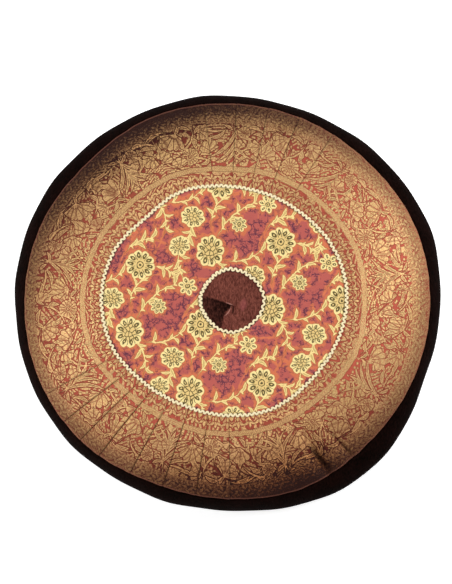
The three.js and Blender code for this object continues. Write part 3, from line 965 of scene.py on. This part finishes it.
def cottonMaterial():
    material, start, shader = newMaterial("flowered cotton print")
    place = facePlace(start)
    wobble = (place * 0.08).noise(1.0, output=1) - 0.5
    unsteady = (place * 0.3).noise(1.0, output=1) - 0.5
    drawn = place - (*cotton["origin"], 0.0) + wobble * (3.0, 3.0, 0.0) + unsteady * (2.2, 2.2, 0.0)
    cell = cotton["cell"]
    c, s = heading(cotton["turn"])
    spot = start.vector(drawn.dot(c / cell[0], s / cell[0]), drawn.dot(-s / cell[1], c / cell[1]))

    leaves = []
    draw = np.random.default_rng(4)
    for x, y, degrees, half, bend in cotton["vines"]:
        leaves.append(leaf(spot, cell, x, y, degrees, half, cotton["stemHalf"], bend))
        c, s = heading(degrees)
        for share, side in cotton["leafPlaces"]:
            length = draw.uniform(*cotton["leafLengths"])
            lean = degrees + side * draw.uniform(*cotton["leafLean"])
            alongStem, offStem = share * half, bend * (1 - share * share)
            baseX, baseY = x + alongStem * c - offStem * s, y + alongStem * s + offStem * c
            leanX, leanY = heading(lean)
            centre = baseX + length * 0.95 * leanX, baseY + length * 0.95 * leanY
            leaves.append(leaf(spot, cell, *centre, lean, length, length * 0.27, -side * 2.4))
            if length > cotton["spurred"]:
                leaves.append(leaf(spot, cell, baseX + 2, baseY + 1, lean - side * 95, 3.6, 1.2, side * 0.8))
    leaves = lowest(leaves)
    heads = [flower(around(spot, cell, x, y), *rest, turn=0.4 * x) for x, y, *rest in cotton["flowers"]]
    blooms = [palmette(around(spot, cell, x, y), *rest) for x, y, *rest in cotton["palmettes"]]
    petals = lowest([edge for edge, _ in heads + blooms])
    ink = highest([inked for _, inked in heads] + [inked * edge.within(0.5) for edge, inked in blooms])

    # ground: orange round the motifs, rose between them, and dark twigs in the rose
    patches = (place * 0.05).noise(2.0, 0.6)
    motif = leaves.min(petals)
    rose = (cotton["halo"] - motif + (patches - 0.5) * 14.0).within(2.2)
    ground = patches.mixed(colour(220, 128, 84), colour(194, 98, 66))
    ground = (rose * 0.85).mixed(ground, patches.mixed(colour(160, 70, 76), colour(188, 92, 84)))
    tangled = place + wobble * (12.0, 12.0, 0.0) + unsteady * (2.5, 2.5, 0.0)
    stems = (tangled * 0.12).voronoi("DISTANCE_TO_EDGE") * 8.3
    sides = (tangled * 0.31 + (3.0, 1.0, 0.0)).voronoi("DISTANCE_TO_EDGE") * 3.2
    broken = ((place * 0.1 + (5.0, 3.0, 0.0)).noise(2.0) * -1.0 + 0.46).within(0.06)
    twigs = (stems - 0.6).within(0.4).max((sides - 0.35).within(0.3) * (stems - 2.4).within(1.2)) * broken
    thinner = (cotton["halo"] - 2.6 - motif).within(1.2)
    ground = (twigs * (rose * 0.4 + 0.55) * thinner).mixed(ground, colour(90, 40, 62))

    # cream motifs with an ochre edge and olive drawing
    tone = (motif - 0.7).within(0.4).mixed(ground, colour(156, 100, 50))
    tone = leaves.within(0.5).mixed(tone, colour(240, 214, 144))
    tone = ((leaves + 1.3).within(0.6) * 0.6).mixed(tone, colour(168, 138, 66))
    tone = (petals - 0.1).within(0.5).mixed(tone, colour(242, 220, 152))
    tone = ((petals + 6.5).within(5.0) * 0.5).mixed(tone, colour(206, 164, 90))
    tone = ink.mixed(tone, colour(80, 68, 30))
    x, y = place.parts()
    weave = (x * (tau / cotton["threadPitch"])).sine() * (y * (tau / cotton["threadPitch"])).sine()
    faded = (place * 0.9).noise(2.0, 0.7)
    tone = (faded * 0.12).mixed(tone, colour(120, 80, 50))
    feed(shader, {"Base Color": tone, "Roughness": 0.8, "Specular IOR Level": 0.25, "Sheen Weight": 0.08},
         weave, 0.12)
    return material


def velvetMaterial(name, deep, worn, sheen, wedge=None):
    material, start, shader = newMaterial(name)
    place = facePlace(start)
    soft = (place * 0.035).noise(3.0, 0.6)
    pile = (place * (0.5, 0.2, 0.4)).noise(3.0, 0.75)
    marks = (soft + pile * 3.0 - 1.5).clamped(0.0)
    tone = marks.mixed(deep, worn)
    if wedge:
        own = (place - (*tuft["place"], 0.0)) * (1.0, 1.0, 0.0)
        away = own.size()
        ragged = ((place * 0.25).noise(2.0, 0.7) - 0.5) * 12.0
        c, s = heading((tuft["upper"] + tuft["lower"]) / 2)
        half = math.radians((tuft["lower"] - tuft["upper"]) / 2)
        angle = own.dot(-s, c).calc("ARCTAN2", own.dot(c, s))
        above = (angle * -1.0 - half) * away + ragged * 0.4
        below = (angle - away * (math.radians(tuft["curl"]) / tuft["reach"]) - half) * away + ragged
        depth = 1.35 - pile * 0.8 - (away * (1 / tuft["reach"])) ** 3.0 * 0.25
        tone = (above.within(2.0) * below.within(3.0) * depth.min(1.0)).mixed(tone, wedge)
        # painted highlight: a rosy sheen on the swell to the right of the tuft
        paintedHighlight = petal(own - (13.5, 0.0, 0.0), 80, 9, 4.5).within(4.0)
        tone = (paintedHighlight * 0.35).mixed(tone, colour(150, 78, 78))
        # painted shade in the small groove below the tuft
        groove = petal(own, 266, 6.5, 1.3, out=7.0).within(0.8)
        tone = (groove * 0.8).mixed(tone, wedge)
        # painted highlights along the two fold ridges
        ridgeHighlights = petal(own, 161, 5.5, 0.6, out=6.0).min(petal(own + (8.2, 9.0, 0.0), 236, 8.5, 0.6, 1.6))
        tone = (ridgeHighlights.within(0.6) * 0.7).mixed(tone, colour(170, 122, 110))
    feed(shader, {"Base Color": tone, "Roughness": 0.95, "Specular IOR Level": 0.02, "Sheen Weight": sheen[0],
                  "Sheen Roughness": 0.45, "Sheen Tint": sheen[1]}, pile + soft * 2.0, 0.5)
    return material


def braidMaterial():
    material, start, shader = newMaterial("cream cotton braid")
    strands = (objectPlace(start) * 1.4).noise(2.0, 0.6)
    tone = strands.mixed(colour(196, 178, 134), colour(248, 236, 198))
    feed(shader, {"Base Color": tone, "Roughness": 0.75, "Specular IOR Level": 0.3}, strands, 0.5)
    return material


def threadMaterial():
    material, start, shader = newMaterial("sewing thread")
    twist = (objectPlace(start) * 2.5).noise(1.0)
    tone = twist.mixed(colour(216, 196, 150), colour(240, 226, 188))
    feed(shader, {"Base Color": tone, "Roughness": 0.6}, twist, 0.1)
    return material


# The pieces
darkVelvet = velvetMaterial("dark maroon velvet", colour(2, 1, 0), colour(22, 8, 6), (0.002, colour(110, 50, 46)))
brownVelvet = velvetMaterial("red-brown velvet", colour(60, 27, 22), colour(118, 66, 55),
                             (0.08, colour(180, 110, 90)), wedge=colour(12, 4, 3))
cream, thread = braidMaterial(), threadMaterial()


def finished(piece, node, material=None):
    if material:
        piece.data.materials.clear()
        piece.data.materials.append(material)
    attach(piece, "root")
    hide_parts(node)
    print("made", piece.name, len(piece.data.polygons), "faces")
    return piece


coverPiece = finished(velvetCover(), "cushion_cover", darkVelvet)

ringPiece = brocadeStrip()
finished(ringPiece, "brocade_ring", brocadeMaterial(ringPiece["stripLength"]))

printPiece = clothOnFace("flowered_disc", printed, printedLift)
finished(printPiece, "printed_disc", cottonMaterial())

centrePiece = clothOnFace("velvet_middle", middleCloth, centreLift, pole=True)
finished(centrePiece, "velvet_centre", brownVelvet)

ricRacTree = braidTree()
for name, node, station, teeth, seed in (("print_ricrac", "outer_ricrac", 2.0, braid["teeth"], 31),
                                         ("middle_ricrac", "centre_ricrac", 1.0, braid["centreTeeth"], 32)):
    finished(ricRac(name, station, teeth, seed, ricRacTree, cream, thread), node)
bpy.data.node_groups.remove(ricRacTree)


# Floor, lights and camera
studio = {  # metres and degrees where nothing else is said
    "floor": 30.0,
    "world": 0.12,  # strength of the light from all round
    "floorGlow": 0.5,
    "lamps": [  # place, size, watts
        ((-1.8, -0.5, 1.4), (1.2, 0.8), 40.0),
        ((1.8, 0.6, 1.4), (1.2, 0.8), 42.0),
        ((0.0, 0.9, 2.6), (1.6, 1.2), 37.0),
    ],
    "distance": 2.3,
    "elevation": 83.0,
    "aim": (-0.0014, 0.0174, 0.062),  # from the middle of the face's radii
    "pixel": 1.418,  # millimetres a pixel at the aim
    "pixels": 584,  # height of the picture
}


def stageFloor():
    half = studio["floor"] / 2
    mesh = bpy.data.meshes.new("floor")
    mesh.from_pydata([(-half, -half, 0), (half, -half, 0), (half, half, 0), (-half, half, 0)], [], [(0, 1, 2, 3)])
    floor = placed("floor", mesh)
    material, _, shader = newMaterial("pale floor")
    feed(shader, {"Base Color": (0.93, 0.93, 0.93, 1.0), "Roughness": 0.9, "Specular IOR Level": 0.1,
                  "Emission Color": (1.0, 1.0, 1.0, 1.0), "Emission Strength": studio["floorGlow"]})
    mesh.materials.append(material)


def lightStage():
    world = bpy.data.worlds.new("studio")
    world.use_nodes = True
    world.node_tree.nodes["Background"].inputs["Color"].default_value = (1, 1, 1, 1)
    world.node_tree.nodes["Background"].inputs["Strength"].default_value = studio["world"]
    scene.world = world
    for number, (place, size, watts) in enumerate(studio["lamps"]):
        data = bpy.data.lights.new(f"lamp_{number}", "AREA")
        data.shape = "RECTANGLE"
        data.size, data.size_y = size
        data.energy = watts
        lamp = placed(f"lamp_{number}", data)
        lamp.location = place
        lamp.rotation_euler = (Vector((0, 0, 0.05)) - Vector(place)).to_track_quat("-Z", "Y").to_euler()


def placeCamera():
    data = bpy.data.cameras.new("camera")
    camera = placed("camera", data)
    e = math.radians(studio["elevation"])
    aim = Vector(studio["aim"]) - Vector(middle)
    back = Vector((0, -math.cos(e), math.sin(e)))
    camera.location = aim + back * studio["distance"]
    camera.rotation_euler = (-back).to_track_quat("-Z", "Y").to_euler()
    data.sensor_fit = "VERTICAL"
    data.sensor_height = 36.0
    data.lens = data.sensor_height / 2 / (studio["pixels"] * studio["pixel"] * mm / 2 / studio["distance"])
    scene.camera = camera


stageFloor()
lightStage()
placeCamera()
scene.view_settings.view_transform = "Standard"
